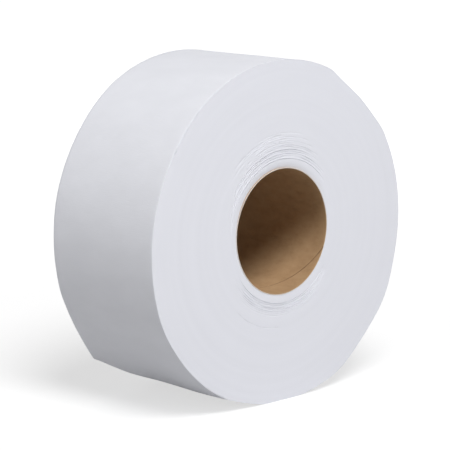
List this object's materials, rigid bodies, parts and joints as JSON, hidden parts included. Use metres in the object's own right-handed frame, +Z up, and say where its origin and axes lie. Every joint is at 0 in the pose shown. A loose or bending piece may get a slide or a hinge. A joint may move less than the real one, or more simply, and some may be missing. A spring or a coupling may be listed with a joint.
{
  "type": "toilet paper roll",
  "caption": "Jumbo toilet tissue roll lying on its side: a white sheet wound on a wide brown card core, pressed slightly flat where it rests, its free end standing off low on the left.",
  "frame": {"origin": "middle of the core's bore, half way along its axis", "axes": "+Y along the core's axis towards the rear end, +Z up, the end seen in the picture faces -Y"},
  "size_m": [0.2286, 0.0966, 0.2269],
  "materials": {
    "core_card": "matt, bare brown card",
    "tissue": "matt, soft, finely creped white tissue"
  },
  "bodies": {
    "root": {"core_tube": "core_card", "tissue_roll": "tissue"}
  },
  "joints": []
}
